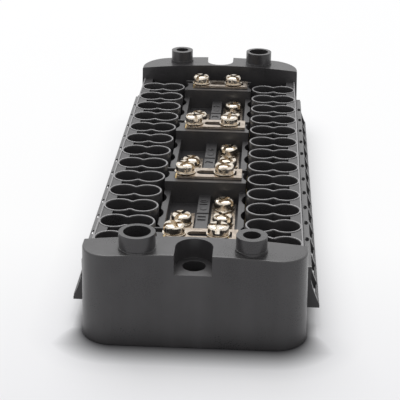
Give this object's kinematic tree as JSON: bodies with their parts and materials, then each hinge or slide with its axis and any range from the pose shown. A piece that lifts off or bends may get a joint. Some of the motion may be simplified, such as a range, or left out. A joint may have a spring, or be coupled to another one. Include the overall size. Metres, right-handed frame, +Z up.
{
  "type": "terminal block",
  "caption": "Long terminal block with rows of figure-eight screw chimneys, side barriers, hollow end posts, and sliding and fixed link plates in its centre.",
  "frame": {"origin": "centre of the underside, on the plane it stands on", "axes": "+Z up, +Y along the row of poles away from the picture's near end, +X to the right as the picture shows it"},
  "size_m": [0.091, 0.243, 0.0413],
  "materials": {
    "black_plastic": "fine satin moulded surface",
    "nickel_plate": "bright nickel plate on sheet metal",
    "nickel_screw": "bright nickel plated steel",
    "zinc_screw": "zinc plated steel",
    "brass_conductor": "plain brass bar"
  },
  "bodies": {
    "root": {"housing": "black_plastic", "centre_carrier": "black_plastic", "side_barrier_left": "black_plastic", "chimney_rail_left": "black_plastic", "side_barrier_right": "black_plastic", "chimney_rail_right": "black_plastic", "terminal_left_01": "brass_conductor", "terminal_left_02": "brass_conductor", "terminal_left_03": "brass_conductor", "terminal_left_04": "brass_conductor", "terminal_left_05": "brass_conductor", "terminal_left_06": "brass_conductor", "terminal_left_07": "brass_conductor", "terminal_left_08": "brass_conductor", "terminal_left_09": "brass_conductor", "terminal_left_10": "brass_conductor", "terminal_left_11": "brass_conductor", "terminal_left_12": "brass_conductor", "terminal_left_13": "brass_conductor", "terminal_right_01": "brass_conductor", "terminal_right_02": "brass_conductor", "terminal_right_03": "brass_conductor", "terminal_right_04": "brass_conductor", "terminal_right_05": "brass_conductor", "terminal_right_06": "brass_conductor", "terminal_right_07": "brass_conductor", "terminal_right_08": "brass_conductor", "terminal_right_09": "brass_conductor", "terminal_right_10": "brass_conductor", "terminal_right_11": "brass_conductor", "terminal_right_12": "brass_conductor", "terminal_right_13": "brass_conductor", "clamp_screws_left": "zinc_screw", "clamp_screws_right": "zinc_screw", "bus_link_left_1": "nickel_plate", "bus_link_right_1": "nickel_plate", "bus_link_left_2": "nickel_plate", "bus_link_right_2": "nickel_plate", "bus_link_left_3": "nickel_plate", "bus_link_right_3": "nickel_plate", "bus_link_screws_left_1": "nickel_screw", "bus_link_screws_right_1": "nickel_screw", "bus_link_screws_left_2": "nickel_screw", "bus_link_screws_right_2": "nickel_screw", "bus_link_screws_left_3": "nickel_screw", "bus_link_screws_right_3": "nickel_screw"},
    "link_1": {"cross_link_1": "nickel_plate"},
    "screw_1_left": {"cross_link_screw_1_left": "nickel_screw"},
    "screw_1_right": {"cross_link_screw_1_right": "nickel_screw"},
    "link_2": {"cross_link_2": "nickel_plate"},
    "screw_2_left": {"cross_link_screw_2_left": "nickel_screw"},
    "screw_2_right": {"cross_link_screw_2_right": "nickel_screw"},
    "link_3": {"cross_link_3": "nickel_plate"},
    "screw_3_left": {"cross_link_screw_3_left": "nickel_screw"},
    "screw_3_right": {"cross_link_screw_3_right": "nickel_screw"},
    "link_4": {"cross_link_4": "nickel_plate"},
    "screw_4_left": {"cross_link_screw_4_left": "nickel_screw"},
    "screw_4_right": {"cross_link_screw_4_right": "nickel_screw"}
  },
  "joints": [
    {"name": "link_1_slide", "type": "slide", "parent": "root", "child": "link_1", "axis": [1, 0, 0], "range_m": [0, 0.009]},
    {"name": "screw_1_left_back_out", "type": "slide", "parent": "root", "child": "screw_1_left", "axis": [0, 0, 1], "range_m": [0, 0.003]},
    {"name": "screw_1_right_back_out", "type": "slide", "parent": "root", "child": "screw_1_right", "axis": [0, 0, 1], "range_m": [0, 0.003]},
    {"name": "link_2_slide", "type": "slide", "parent": "root", "child": "link_2", "axis": [1, 0, 0], "range_m": [0, 0.009]},
    {"name": "screw_2_left_back_out", "type": "slide", "parent": "root", "child": "screw_2_left", "axis": [0, 0, 1], "range_m": [0, 0.003]},
    {"name": "screw_2_right_back_out", "type": "slide", "parent": "root", "child": "screw_2_right", "axis": [0, 0, 1], "range_m": [0, 0.003]},
    {"name": "link_3_slide", "type": "slide", "parent": "root", "child": "link_3", "axis": [1, 0, 0], "range_m": [0, 0.009]},
    {"name": "screw_3_left_back_out", "type": "slide", "parent": "root", "child": "screw_3_left", "axis": [0, 0, 1], "range_m": [0, 0.003]},
    {"name": "screw_3_right_back_out", "type": "slide", "parent": "root", "child": "screw_3_right", "axis": [0, 0, 1], "range_m": [0, 0.003]},
    {"name": "link_4_slide", "type": "slide", "parent": "root", "child": "link_4", "axis": [1, 0, 0], "range_m": [0, 0.009]},
    {"name": "screw_4_left_back_out", "type": "slide", "parent": "root", "child": "screw_4_left", "axis": [0, 0, 1], "range_m": [0, 0.003]},
    {"name": "screw_4_right_back_out", "type": "slide", "parent": "root", "child": "screw_4_right", "axis": [0, 0, 1], "range_m": [0, 0.003]}
  ]
}
